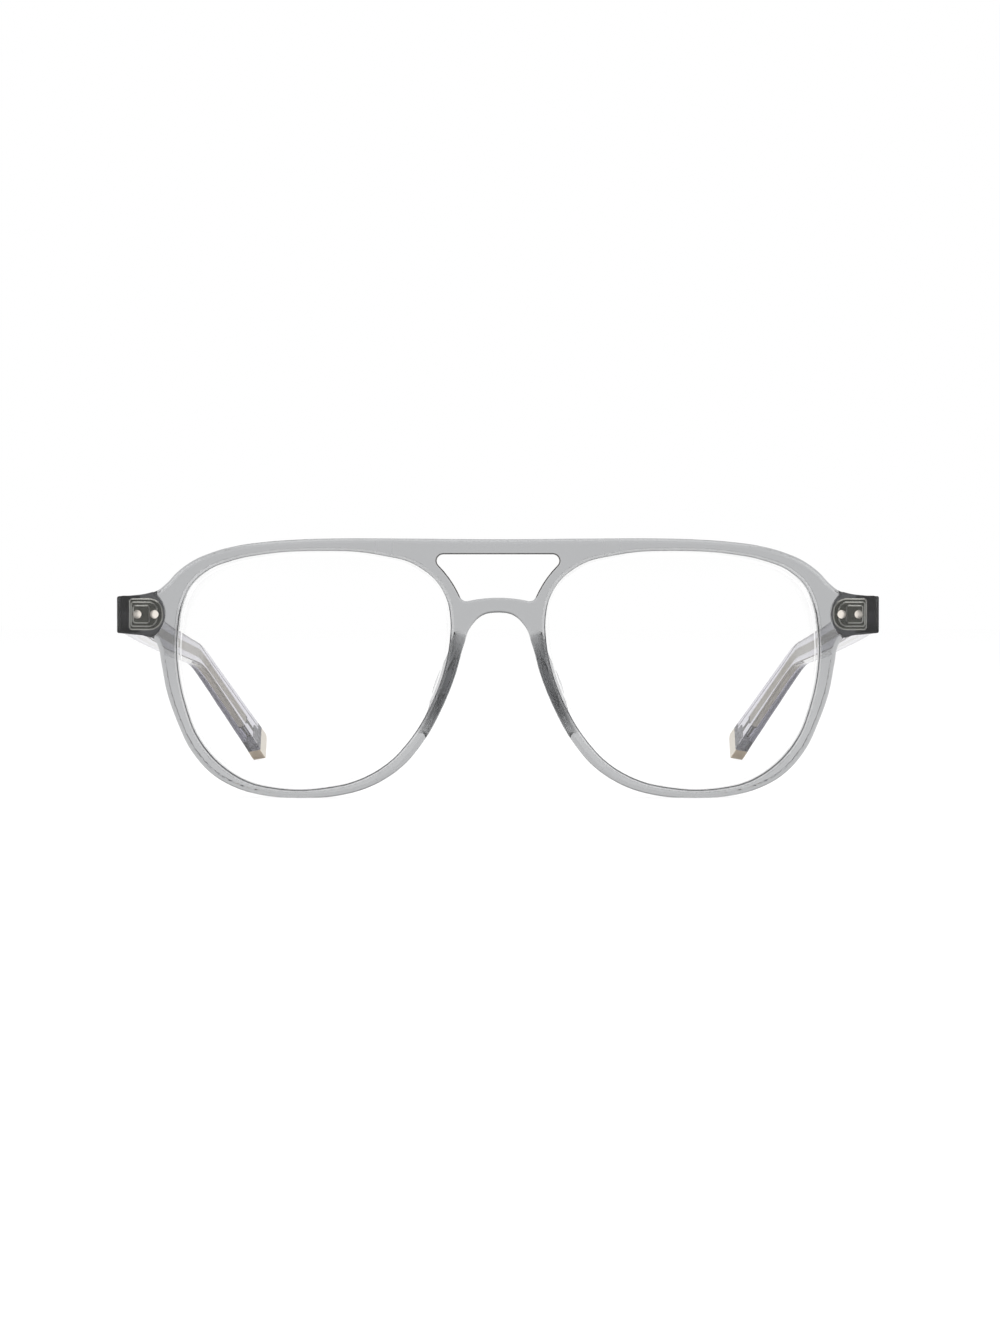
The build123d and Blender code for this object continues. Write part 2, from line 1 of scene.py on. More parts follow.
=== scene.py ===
# %% [markdown]
# # Double bridge glasses
# The glasses stand open on a white table and are seen straight from the front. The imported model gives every
# piece its place and size. This lesson adds the camera, the light, and what each real material looks like:
# polished clear and grey acetate, plastic lenses, nickel silver and a drawn core wire.

# %% Load the frame
import math

import bmesh
import bpy
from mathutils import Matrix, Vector


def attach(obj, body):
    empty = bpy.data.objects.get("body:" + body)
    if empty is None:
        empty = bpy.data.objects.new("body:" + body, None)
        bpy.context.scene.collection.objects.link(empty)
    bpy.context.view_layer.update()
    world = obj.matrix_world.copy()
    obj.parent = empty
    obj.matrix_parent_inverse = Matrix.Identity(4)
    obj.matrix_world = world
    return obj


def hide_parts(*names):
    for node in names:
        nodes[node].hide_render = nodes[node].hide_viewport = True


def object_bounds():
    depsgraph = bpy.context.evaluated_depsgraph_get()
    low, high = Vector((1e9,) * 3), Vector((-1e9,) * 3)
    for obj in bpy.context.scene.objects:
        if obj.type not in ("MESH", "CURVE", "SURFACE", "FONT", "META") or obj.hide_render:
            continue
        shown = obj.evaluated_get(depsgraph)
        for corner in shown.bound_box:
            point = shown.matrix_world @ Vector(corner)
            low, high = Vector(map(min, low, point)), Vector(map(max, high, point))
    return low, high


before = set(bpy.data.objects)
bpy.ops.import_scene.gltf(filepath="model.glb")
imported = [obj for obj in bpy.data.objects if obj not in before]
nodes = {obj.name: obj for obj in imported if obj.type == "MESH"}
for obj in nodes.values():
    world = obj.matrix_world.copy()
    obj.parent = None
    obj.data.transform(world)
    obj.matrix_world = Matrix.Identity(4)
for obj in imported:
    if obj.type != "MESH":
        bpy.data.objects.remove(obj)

cad_box = [list(corner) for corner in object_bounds()]
MM = 0.001
print("model box in mm:", [[round(v / MM, 2) for v in corner] for corner in cad_box])

# %% [markdown]
# ## Camera
# The photograph was taken with a long lens, so near and far parts differ little in size. The lens stands
# 560 mm in front of the bridge, level with the middle of the lenses, and looks down by a little over a
# degree. On Blender's 36 mm sensor, which spans the taller side of a portrait picture, that takes an 81.6
# mm lens.

# %% Camera
focal_length = 81.56
camera_distance = 560 * MM
camera_height = 37.36 * MM
looks_down = math.radians(1.30)
looks_aside = math.radians(-0.038)
camera_data = bpy.data.cameras.new("portrait_camera")
camera_data.lens = focal_length
camera_data.clip_start = 10 * MM
camera = bpy.data.objects.new("portrait_camera", camera_data)
camera.location = (0, cad_box[0][1] - camera_distance, camera_height)
camera.rotation_euler = (math.radians(90) - looks_down, 0, looks_aside)
bpy.context.scene.collection.objects.link(camera)
bpy.context.scene.camera = camera
print("camera at", [round(v, 4) for v in camera.location])

# %% [markdown]
# ## Colours, nodes and shares
# Colours are written as they appear on a screen, in hex, and one function turns them into the linear values
# that Blender works with. One more function adds a node with its settings and its links, so a material
# reads as a short list. Where a finish covers only some of a piece, its share goes from 0 to 1. A share
# fades while a measure crosses a span, and shares are joined by asking for all of them or for any of them.


# %% Colour, node and share helpers
def linear(hex_colour):
    """The linear colour, with full alpha, of a screen colour such as B8BCC0."""
    channels = []
    for start in (0, 2, 4):
        value = int(hex_colour[start : start + 2], 16) / 255
        channels.append(value / 12.92 if value <= 0.04045 else ((value + 0.055) / 1.055) ** 2.4)
    return (*channels, 1.0)


def add(tree, kind, inputs=None, **settings):
    """Adds a node. Inputs are values, or sockets to link from."""
    node = tree.nodes.new(kind)
    for name, value in settings.items():
        setattr(node, name, value)
    for key, value in (inputs or {}).items():
        if isinstance(value, bpy.types.NodeSocket):
            tree.links.new(value, node.inputs[key])
        else:
            node.inputs[key].default_value = value
    return node


def new_material(name):
    """A named material with an empty node tree and its output node."""
    material = bpy.data.materials.new(name)
    material.use_nodes = True
    material.node_tree.nodes.clear()
    return material, material.node_tree, add(material.node_tree, "ShaderNodeOutputMaterial")


def fade(tree, measure, span, low, high):
    """A number that goes from low to high while a measure crosses a span."""
    limits = {"Value": measure, "From Min": span[0], "From Max": span[1], "To Min": low, "To Max": high}
    return add(tree, "ShaderNodeMapRange", limits).outputs["Result"]


def joined(tree, operation, shares):
    """Shares joined two by two."""
    result = shares[0]
    for share in shares[1:]:
        result = add(tree, "ShaderNodeMath", {0: result, 1: share}, operation=operation).outputs[0]
    return result


def all_of(tree, *shares):
    """The share of what has every one of some shares: their product."""
    return joined(tree, "MULTIPLY", shares)


def any_of(tree, *shares):
    """The share of what has at least one of some shares: the largest."""
    return joined(tree, "MAXIMUM", shares)


def blend(tree, share, first, second):
    """A colour between two, which may be hex values or sockets."""
    colours = {"Factor": share}
    for key, colour in ((6, first), (7, second)):
        colours[key] = linear(colour) if isinstance(colour, str) else colour
    return add(tree, "ShaderNodeMix", colours, data_type="RGBA").outputs[2]


print("B8BCC0 is", [round(c, 3) for c in linear("B8BCC0")], "in linear light")

# %% [markdown]
# ## White table and white surroundings
# The table and the air behind it are plain white in the picture. A white glow that only the camera, mirrors
# and glass can see does that without throwing more light on the glasses. Clear plastic looks like nothing
# without some contrast round it: a real studio is dark above its white backdrop, and that darkness is what
# draws the fine lines along polished edges. So the glow fades to a grey high up, seen by mirrors and glass
# alone. The table keeps a share of its real surface, a larger one in mirrors, so the soft contact shadows
# stay.

# %% Table and surroundings
# The height of a direction is 0 at the horizon and 1 straight up
fading_heights = (0.24, 0.6)
highest_glow = 0.2
room_light = 0.8
table_glow = 1.1
glow_seen_straight = 0.72
glow_in_mirrors = 0.3
table_reach = 3.0
table_drop = 0.02 * MM

world = bpy.data.worlds.new("white_studio")
bpy.context.scene.world = world
world.use_nodes = True
tree = world.node_tree
tree.nodes.clear()
rays = add(tree, "ShaderNodeLightPath").outputs
direction = add(tree, "ShaderNodeTexCoord")
up = add(tree, "ShaderNodeSeparateXYZ", {0: direction.outputs["Generated"]})
high = add(
    tree,
    "ShaderNodeMapRange",
    {
        "Value": up.outputs["Z"],
        "From Min": fading_heights[0],
        "From Max": fading_heights[1],
        "To Min": 1.0,
        "To Max": highest_glow,
    },
    interpolation_type="SMOOTHSTEP",
)
wall_strength = any_of(tree, rays["Is Camera Ray"], high.outputs["Result"])
soft_light = add(tree, "ShaderNodeBackground", {"Color": linear("FFFFFF"), "Strength": room_light})
white_wall = add(tree, "ShaderNodeBackground", {"Color": linear("FFFFFF"), "Strength": wall_strength})
seen = any_of(tree, rays["Is Camera Ray"], rays["Is Glossy Ray"], rays["Is Transmission Ray"])
chosen = add(tree, "ShaderNodeMixShader", {"Fac": seen, 1: soft_light.outputs[0], 2: white_wall.outputs[0]})
add(tree, "ShaderNodeOutputWorld", {"Surface": chosen.outputs[0]})

table_material, tree, output = new_material("white_laminate_table")
rays = add(tree, "ShaderNodeLightPath").outputs
surface = add(tree, "ShaderNodeBsdfDiffuse", {"Color": linear("F2F2F2"), "Roughness": 0.3})
glow = add(tree, "ShaderNodeEmission", {"Color": linear("FFFFFF"), "Strength": table_glow})
straight = any_of(tree, rays["Is Camera Ray"], rays["Is Transmission Ray"])
glow_share = any_of(
    tree,
    all_of(tree, straight, glow_seen_straight),
    all_of(tree, rays["Is Glossy Ray"], glow_in_mirrors),
)
mixed = add(tree, "ShaderNodeMixShader", {"Fac": glow_share, 1: surface.outputs[0], 2: glow.outputs[0]})
tree.links.new(mixed.outputs[0], output.inputs["Surface"])

table_mesh = bpy.data.meshes.new("table")
signs = ((-1, -1), (1, -1), (1, 1), (-1, 1))
corners = [(x * table_reach, y * table_reach, -table_drop) for x, y in signs]
table_mesh.from_pydata(corners, [], [(0, 1, 2, 3)])
table_mesh.materials.append(table_material)
table = bpy.data.objects.new("table", table_mesh)
bpy.context.scene.collection.objects.link(table)
print("table", 2 * table_reach, "m wide")

# %% [markdown]
# ## Lamps
# Large soft panels light the glasses from above, from the left and from the right, as in a product studio.
# Panels rather than points keep the edges of the polished acetate calm.


# %% Lamps
def soft_panel(name, place, target, size, power):
    """A square lamp at a place, turned to a target."""
    data = bpy.data.lights.new(name, "AREA")
    data.shape = "SQUARE"
    data.size = size
    data.energy = power
    lamp = bpy.data.objects.new(name, data)
    lamp.location = place
    lamp.rotation_euler = (Vector(target) - Vector(place)).to_track_quat("-Z", "Y").to_euler()
    bpy.context.scene.collection.objects.link(lamp)


soft_panel("panel_above", place=(0, -0.1, 0.9), target=(0, 0, 0), size=0.9, power=4.0)
for name, sign in (("panel_left", -1), ("panel_right", 1)):
    soft_panel(name, place=(sign * 0.8, -0.5, 0.5), target=(0, 0, 0.02), size=0.5, power=1.6)

# %% [markdown]
# ## The line of a temple
# A temple runs almost straight back from the hinge, bends down behind the ear and turns in a little. One
# rule gives its slope and its turn at every distance, and adding up short steps gives its place. The core
# wire and the joint of the tip cap both need that line. It is worked out for the left side, and the right
# is its mirror.

# %% Temple line
butt_mm = Vector((69.6, 13.1, 34.3))
front_y = cad_box[0][1]
shaft_mm = 88.0
bend_mm = 15.0
temple_mm = 134.05
cap_mm = 3.5
shaft_slope = 5.7
drop_slope = 36.4
butt_yaw = -1.0
shaft_yaw = 4.2
tip_yaw = 17.5
line_steps = 200


def axes_at(distance):
    """Unit vectors along the left temple, across its thickness and up its height, at a distance in mm."""
    along_shaft = min(distance / shaft_mm, 1.0)
    into_bend = min(max((distance - shaft_mm) / bend_mm, 0.0), 1.0)
    eased = into_bend**2 * (3 - 2 * into_bend)
    slope = math.radians(shaft_slope + (drop_slope - shaft_slope) * eased)
    yaw = math.radians(butt_yaw + (shaft_yaw - butt_yaw) * along_shaft + (tip_yaw - shaft_yaw) * eased)
    along = Vector((-math.sin(yaw), math.cos(yaw) * math.cos(slope), -math.cos(yaw) * math.sin(slope)))
    across = Vector((math.cos(yaw), math.sin(yaw) * math.cos(slope), -math.sin(yaw) * math.sin(slope)))
    return along, across, Vector((0, math.sin(slope), math.cos(slope)))


def place_at(distance):
    """The middle of the left temple at a distance from its butt in mm, as a place in the scene."""
    place = butt_mm.copy()
    step = distance / line_steps
    for index in range(line_steps):
        place += axes_at((index + 0.5) * step)[0] * step
    return place * MM + Vector((0, front_y, 0))


joint_place = place_at(temple_mm - cap_mm)
joint_along, joint_across, joint_up = axes_at(temple_mm - cap_mm)
print("cap joint at", [round(v / MM, 2) for v in joint_place], "mm")

# %% [markdown]
# ## Cellulose acetate
# The front is cut on a milling machine from a sheet of grey, see-through cellulose acetate, then tumbled
# until it shines. The colour sits in the depth of the plastic: a thin rim looks pale and a thick end piece
# looks dark. So the surface is plain clear plastic with an index of about 1.48, and a Volume Absorption
# node does the colouring. Tumbling leaves very faint waves a few millimetres long, which bend what is seen
# through the rim into soft lengthwise lines. The wheel that shapes the pads leaves them satin, so they look
# evenly grey from the front. The wall of the window between the bridges and the lips of the lens openings
# get painted shade: thin dark lines put into their colour, where the edges would show the dark studio. The
# backs of the end pieces are left as the cutter made them, matt, because the hinges cover them, and their
# colour is darkened with painted shade, so from the front the end pieces look nearly black round the hinge
# leaves. A Light Path switch lets the lamps shine through, because Cycles would otherwise give clear
# plastic a solid black shadow.

# %% Acetate materials
# Roughness of each finish
polished = 0.02
filed = 0.12
satin = 0.42
# Places on the front in mm: out from its middle, back from its foremost line, and up from the floor
pad_out = (22.0, 24.0)
pad_back = (4.25, 4.9)
matt_shaded_back_span = (12.3, 12.5)
window_out = (13.6, 13.9)
window_up = (37.2, 37.6)
window_top_up = (44.0, 44.4)
brow_face_up = (46.2, 46.4)
lip_out = (61.5, 62.5)
lip_behind_face = (0.3, 0.45)
lens_middle = (34.5, 0.0, 25.0)
sheet_radius = 300.0
# How far a surface faces a way, from 1 straight along it to -1 straight against it
window_edge_on = (0.8, 0.93)
lip_edge_on = (0.86, 0.95)
turned_against = (-0.3, -0.2)
lip_not_down = (-0.35, -0.15)
underside = (-0.7, -0.5)
# How much of the way to the middle of the lens a lip faces, in mm
lip_to_lens = (1.0, 2.0)
# Outer strip of a temple's underside, in mm across from its middle line
strip_across = (0.3, 0.6)


def on_left(tree, place, vector):
    """A vector that belongs to a place on either side, as its mirror image on the left side."""
    signs = add(tree, "ShaderNodeVectorMath", {0: place}, operation="SIGN")
    side = add(tree, "ShaderNodeSeparateXYZ", {0: signs.outputs[0]}).outputs["X"]
    flip = add(tree, "ShaderNodeCombineXYZ", {0: side, 1: 1.0, 2: 1.0}).outputs[0]
    return add(tree, "ShaderNodeVectorMath", {0: vector, 1: flip}, operation="MULTIPLY").outputs[0]


def from_joint(tree, place, direction):
    """How far, in mm, a place on either side lies from the cap's joint along a direction of the left side."""
    left = on_left(tree, place, place)
    offset = add(tree, "ShaderNodeVectorMath", {0: left, 1: joint_place}, operation="SUBTRACT")
    along = {0: offset.outputs[0], 1: direction / MM}
    return add(tree, "ShaderNodeVectorMath", along, operation="DOT_PRODUCT").outputs["Value"]


def lit_through(tree, plastic, tint):
    """The surface of a clear plastic that lamps shine through in a tint."""
    through = add(tree, "ShaderNodeBsdfTransparent", {"Color": linear(tint)})
    rays = add(tree, "ShaderNodeLightPath").outputs
    shaders = {"Fac": rays["Is Shadow Ray"], 1: plastic.outputs[0], 2: through.outputs[0]}
    return add(tree, "ShaderNodeMixShader", shaders).outputs[0]


def acetate(name, tint, per_mm, wave_mm, wave_height_mm, dress):
    """Acetate whose light falls off in depth. The dress function gives its skin's colour and roughness."""
    material, tree, output = new_material(name)
    place = add(tree, "ShaderNodeTexCoord")
    waves = add(
        tree,
        "ShaderNodeTexNoise",
        {"Vector": place.outputs["Object"], "Scale": 1 / (wave_mm * MM), "Detail": 1.0, "Roughness": 0.4},
    )
    bump = add(
        tree,
        "ShaderNodeBump",
        {"Height": waves.outputs["Fac"], "Strength": 1.0, "Distance": wave_height_mm * MM},
    )
    skin, roughness = dress(tree, place)
    plastic = add(
        tree,
        "ShaderNodeBsdfPrincipled",
        {
            "Base Color": skin,
            "Roughness": roughness,
            "IOR": 1.48,
            "Transmission Weight": 1.0,
            "Normal": bump.outputs["Normal"],
        },
    )
    tree.links.new(lit_through(tree, plastic, "F4F4F4"), output.inputs["Surface"])
    colour = linear(tint)
    lost = 1 - sum(colour[:3]) / 3
    depth = add(tree, "ShaderNodeVolumeAbsorption", {"Color": colour, "Density": per_mm / MM / lost})
    tree.links.new(depth.outputs[0], output.inputs["Volume"])
    print(name, "keeps", round(math.exp(-4 * per_mm), 2), "of the light through 4 mm")
    return material


def window_wall(tree, at, facing, edge):
    """The wall of the window, which faces the middle at its sides and down at its top."""
    here = all_of(
        tree,
        fade(tree, at["X"], window_out, 1.0, 0.0),
        fade(tree, at["Z"], window_up, 0.0, 1.0),
        fade(tree, at["Z"], brow_face_up, 1.0, 0.0),
    )
    to_middle = fade(tree, facing["X"], turned_against, 1.0, 0.0)
    down = all_of(
        tree,
        fade(tree, facing["Z"], turned_against, 1.0, 0.0),
        fade(tree, at["Z"], window_top_up, 0.0, 1.0),
    )
    return all_of(tree, here, fade(tree, edge, window_edge_on, 1.0, 0.0), any_of(tree, to_middle, down))


def opening_lip(tree, at, place_mm, facing, normal, edge):
    """A lens opening's lip: just behind the curved face, facing the middle of the lens, but not down."""
    squared = add(tree, "ShaderNodeMath", {0: at["X"], 1: at["X"]}, operation="MULTIPLY").outputs[0]
    bowed = {0: squared, 1: -0.5 / sheet_radius, 2: at["Y"]}
    behind_face = add(tree, "ShaderNodeMath", bowed, operation="MULTIPLY_ADD").outputs[0]
    way = add(tree, "ShaderNodeVectorMath", {0: lens_middle, 1: place_mm}, operation="SUBTRACT").outputs[0]
    level = add(tree, "ShaderNodeVectorMath", {0: normal, 1: (1, 0, 1)}, operation="MULTIPLY").outputs[0]
    to_lens = add(tree, "ShaderNodeVectorMath", {0: way, 1: level}, operation="DOT_PRODUCT").outputs["Value"]
    return all_of(
        tree,
        fade(tree, behind_face, lip_behind_face, 1.0, 0.0),
        fade(tree, edge, lip_edge_on, 1.0, 0.0),
        fade(tree, at["X"], lip_out, 1.0, 0.0),
        fade(tree, to_lens, lip_to_lens, 0.0, 1.0),
        fade(tree, facing["Z"], lip_not_down, 0.0, 1.0),
    )


def front_dress(tree, place):
    """Polished, with satin pads, satin backs of the end pieces darkened with painted shade, and painted shade
    lines round the window and the openings.
    """
    left = on_left(tree, place.outputs["Object"], place.outputs["Object"])
    to_mm = {0: left, 1: (1 / MM, 1 / MM, 1 / MM), 2: (0, -front_y / MM, 0)}
    place_mm = add(tree, "ShaderNodeVectorMath", to_mm, operation="MULTIPLY_ADD").outputs[0]
    at = add(tree, "ShaderNodeSeparateXYZ", {0: place_mm}).outputs
    normal = on_left(tree, place.outputs["Object"], place.outputs["Normal"])
    facing = add(tree, "ShaderNodeSeparateXYZ", {0: normal}).outputs
    edge = add(tree, "ShaderNodeMath", {0: facing["Y"]}, operation="ABSOLUTE").outputs[0]
    pad = all_of(
        tree,
        fade(tree, at["X"], pad_out, 1.0, 0.0),
        fade(tree, at["Y"], pad_back, 0.0, 1.0),
    )
    # Painted shade: the matt backs of the end pieces are darkened to a smoky grey in their colour
    matt_shaded_back = fade(tree, at["Y"], matt_shaded_back_span, 0.0, 1.0)
    skin = blend(tree, matt_shaded_back, "FFFFFF", "4A4A4C")
    # Painted shade: a dark brown line on the wall of the window
    skin = blend(tree, window_wall(tree, at, facing, edge), skin, "26201C")
    # Painted shade: a dark line along the lips of the lens openings
    skin = blend(tree, opening_lip(tree, at, place_mm, facing, normal, edge), skin, "303034")
    return skin, fade(tree, any_of(tree, pad, matt_shaded_back), (0.0, 1.0), polished, satin)


def temple_dress(tree, place):
    """Polished, with a filed outer strip of the underside whose colour is darkened with painted shade."""
    facing = add(tree, "ShaderNodeSeparateXYZ", {0: place.outputs["Normal"]}).outputs
    across = from_joint(tree, place.outputs["Object"], joint_across)
    # Painted shade: the outer strip of the underside is darkened in colour; its rougher filed finish is real
    filed_and_shaded = all_of(
        tree,
        fade(tree, facing["Z"], underside, 1.0, 0.0),
        fade(tree, across, strip_across, 0.0, 1.0),
    )
    return blend(tree, filed_and_shaded, "FFFFFF", "6E6E78"), fade(tree, filed_and_shaded, (0.0, 1.0), polished, filed)


front_acetate = acetate("grey_acetate_tumbled", "86898D", 0.185, 3.0, 0.002, front_dress)
temple_acetate = acetate("clear_acetate_tumbled", "A8A4B8", 0.11, 8.0, 0.0003, temple_dress)

# %% [markdown]
# ## Lenses
# A frame is sold with thin plain lenses of clear hard resin. Its index is about 1.5, and there is no colour
# to speak of: only reflections show that it's there.


# %% Lens material
def clear_resin(name):
    """Clear hard resin that lets lamps shine through."""
    material, tree, output = new_material(name)
    resin = add(
        tree,
        "ShaderNodeBsdfPrincipled",
        {"Base Color": linear("FFFFFF"), "Roughness": 0.0, "IOR": 1.5, "Transmission Weight": 1.0},
    )
    tree.links.new(lit_through(tree, resin, "F6F6F6"), output.inputs["Surface"])
    return material


lens_resin = clear_resin("clear_resin_polished")

# %% [markdown]
# ## Metals
# Hinges, rivets and tip caps are nickel silver, a pale yellowish white metal. The hinge leaves were pressed
# hot into the acetate; their forward flats get painted shade, darker than their edges and steps. The core
# wire is the same alloy, drawn through a die. A tip cap is glued on: behind the clear acetate its joint
# face shows the mottled grey of the glue, and its underside gets painted shade, a brownish darkening where
# it faces the table.

# %% Metal materials
grain_height_mm = 0.004
flat_forward = (-0.97, -0.9)
glue_beyond_joint = (0.04, 0.08)
clot_mm = 0.9
clot_tones = (0.35, 0.65)


def nickel_silver(name, light, dark, grain_mm, roughness, worn=None):
    """Nickel silver with fine grain between two tones. The worn function may change its tone or its skin."""
    material, tree, output = new_material(name)
    place = add(tree, "ShaderNodeTexCoord")
    grain = add(
        tree,
        "ShaderNodeTexNoise",
        {"Vector": place.outputs["Object"], "Scale": 1 / (grain_mm * MM), "Detail": 3.0},
    )
    tone = blend(tree, grain.outputs["Fac"], light, dark)
    bump = add(
        tree,
        "ShaderNodeBump",
        {"Height": grain.outputs["Fac"], "Strength": 0.3, "Distance": grain_height_mm * MM},
    )
    metal = add(
        tree,
        "ShaderNodeBsdfPrincipled",
        {"Base Color": tone, "Metallic": 1.0, "Roughness": roughness, "Normal": bump.outputs["Normal"]},
    )
    skin = worn(tree, place, metal, tone) if worn else metal.outputs[0]
    tree.links.new(skin, output.inputs["Surface"])
    return material


def shaded_flats(tree, place, metal, tone):
    """Forward-facing flats of a leaf get painted shade, a darker colour; its edges keep the metal's tone."""
    facing = add(tree, "ShaderNodeSeparateXYZ", {0: place.outputs["Normal"]}).outputs
    flat = fade(tree, facing["Y"], flat_forward, 1.0, 0.0)
    # Painted shade: the forward flats are darkened in colour
    tree.links.new(blend(tree, flat, tone, "7C7C6E"), metal.inputs["Base Color"])
    return metal.outputs[0]


def glued_and_shaded_under(tree, place, metal, tone):
    """Glue before and at the joint of a cap, and painted shade, a brownish darkening, on its underside."""
    facing = add(tree, "ShaderNodeSeparateXYZ", {0: place.outputs["Normal"]}).outputs
    # Painted shade: the underside is darkened to a brown, standing in for the shaded table it mirrors
    shaded_underside = fade(tree, facing["Z"], underside, 1.0, 0.0)
    tree.links.new(blend(tree, shaded_underside, tone, "A89A88"), metal.inputs["Base Color"])
    beyond = from_joint(tree, place.outputs["Object"], joint_along)
    glued = fade(tree, beyond, glue_beyond_joint, 1.0, 0.0)
    clots = add(
        tree,
        "ShaderNodeTexNoise",
        {"Vector": place.outputs["Object"], "Scale": 1 / (clot_mm * MM), "Detail": 2.0},
    )
    clot_share = fade(tree, clots.outputs["Fac"], clot_tones, 0.0, 1.0)
    glue_tone = blend(tree, clot_share, "96969C", "55555A")
    film = add(tree, "ShaderNodeBsdfPrincipled", {"Base Color": glue_tone, "Roughness": 0.6})
    mixed = {"Fac": glued, 1: metal.outputs[0], 2: film.outputs[0]}
    return add(tree, "ShaderNodeMixShader", mixed).outputs[0]


hinge_metal = nickel_silver("nickel_silver_pressed_in_shaded", "F4F2EA", "E0DED2", 0.4, 0.35, shaded_flats)
rivet_metal = nickel_silver("nickel_silver_ground", "F2ECE4", "E6DED4", 0.08, 0.3)
wire_metal = nickel_silver("nickel_silver_drawn", "CDC7B8", "B4AD9E", 0.15, 0.45)
tang_metal = nickel_silver("nickel_silver_heated", "6A665E", "4E4B45", 0.2, 0.5)
cap_metal = nickel_silver("nickel_silver_satin", "DCD6CC", "CEC7BB", 0.1, 0.3, glued_and_shaded_under)
print("metals:", hinge_metal.name, rivet_metal.name, wire_metal.name, tang_metal.name, cap_metal.name)

# %% Give the nodes their materials
finishes = {
    "front": front_acetate,
    "lens": lens_resin,
    "front_hinge": hinge_metal,
    "front_rivet_inner": rivet_metal,
    "front_rivet_outer": rivet_metal,
    "hinge_screw": hinge_metal,
    "temple": temple_acetate,
    "temple_hinge": hinge_metal,
    "temple_rivet_fore": rivet_metal,
    "temple_rivet_aft": rivet_metal,
    "core_wire": wire_metal,
    "tip_cap": cap_metal,
}
for name, node in nodes.items():
    kind = name.removesuffix("_left").removesuffix("_right")
    node.data.materials.clear()
    node.data.materials.append(finishes[kind])
print(len(nodes), "nodes have a finish")

# %% [markdown]
# ## Lens edges
# The wheel that cuts a lens to shape leaves the wall before its tongue a little slanted. That slant is all
# that shows of the lens inside the rim: a thin grey line that follows the opening.

# %% Lenses with slanted edges
weld_distance = 0.0005 * MM
mesh_crease = math.radians(25)
lens_crease = math.radians(20)
lens_slant = 0.25 * MM
lens_forward = -0.8


def add_piece(name, mesh, body, node):
    """A finished piece that rides on a body and takes the place of a node."""
    mesh.name = name
    piece = bpy.data.objects.new(name, mesh)
    bpy.context.scene.collection.objects.link(piece)
    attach(piece, body)
    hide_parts(node)


def merged_copy(name):
    """A copy of a node's mesh whose faces hang together. A layer keeps the true direction at each corner."""
    source = nodes[name].data
    work = bmesh.new()
    work.from_mesh(source)
    true = work.loops.layers.float_vector.new("true_normal")
    for face, polygon in zip(work.faces, source.polygons):
        for loop, index in zip(face.loops, polygon.loop_indices):
            loop[true] = source.corner_normals[index].vector
    bmesh.ops.remove_doubles(work, verts=work.verts, dist=weld_distance)
    return work


def finished_mesh(work, source):
    """A plain mesh from the edited copy, shaded by the kept directions of its surface."""
    mesh = source.copy()
    work.to_mesh(mesh)
    work.free()
    mesh.shade_smooth()
    mesh.set_sharp_from_angle(angle=mesh_crease)
    kept = [tuple(corner.vector) for corner in mesh.attributes["true_normal"].data]
    mesh.attributes.remove(mesh.attributes["true_normal"])
    mesh.normals_split_custom_set(kept)
    return mesh


def skins_of(faces, crease=math.pi):
    """The given faces, sorted into skins that hang together across edges flatter than the crease."""
    left = set(faces)
    skins = []
    while left:
        wave = [left.pop()]
        skin = []
        while wave:
            face = wave.pop()
            skin.append(face)
            flat = [edge for edge in face.edges if edge.calc_face_angle(0.0) <= crease]
            near = {other for edge in flat for other in edge.link_faces} & left
            left -= near
            wave.extend(near)
        skins.append(skin)
    return skins


def edged_lens(side):
    """The lens of one side, the rim of its front face drawn in towards its middle."""
    name = "lens_" + side
    work = merged_copy(name)
    true = work.loops.layers.float_vector["true_normal"]
    work.normal_update()
    middle = sum((vert.co for vert in work.verts), Vector()) / len(work.verts)
    skins = skins_of([face for face in work.faces if face.normal.y < lens_forward], lens_crease)
    front_face = set(max(skins, key=lambda skin: sum(face.calc_area() for face in skin)))
    corners = {v for face in front_face for v in face.verts if not front_face.issuperset(v.link_faces)}
    for vert in corners:
        inward = Vector((middle.x - vert.co.x, 0, middle.z - vert.co.z)).normalized()
        vert.co += inward * lens_slant
        for loop in vert.link_loops:
            if loop.face not in front_face:
                # A zero direction asks for the face's own shading
                for other in loop.face.loops:
                    other[true] = Vector()
    print(name, len(corners), "corners drawn in")
    add_piece(name + "_edged", finished_mesh(work, nodes[name].data), "front", name)


for side in ("left", "right"):
    edged_lens(side)

# %% [markdown]
# ## Temples round their wires
# On the real temple the hot wire is shot into the acetate, and the cap's tongue is glued in, so no air is
# left round either of them. The model keeps a hair of room there, and that thin air gap would act as a
# mirror. So a copy of each temple goes without the skin round the wire and without the pocket for the
# tongue, and its closed end reaches a hair into the cap.

# %% Temples without their inner skins
pocket_depth = 3.5 * MM
pocket_half_thickness = 0.75 * MM
pocket_half_height = 1.8 * MM
joint_tolerance = 0.02 * MM
cap_overlap = 0.05 * MM


def beyond_joint(place):
    """How far a place, on either side, lies beyond the joint of the cap, and how far off the middle line."""
    offset = Vector((abs(place.x), place.y, place.z)) - joint_place
    return offset.dot(joint_along), abs(offset.dot(joint_across)), abs(offset.dot(joint_up))


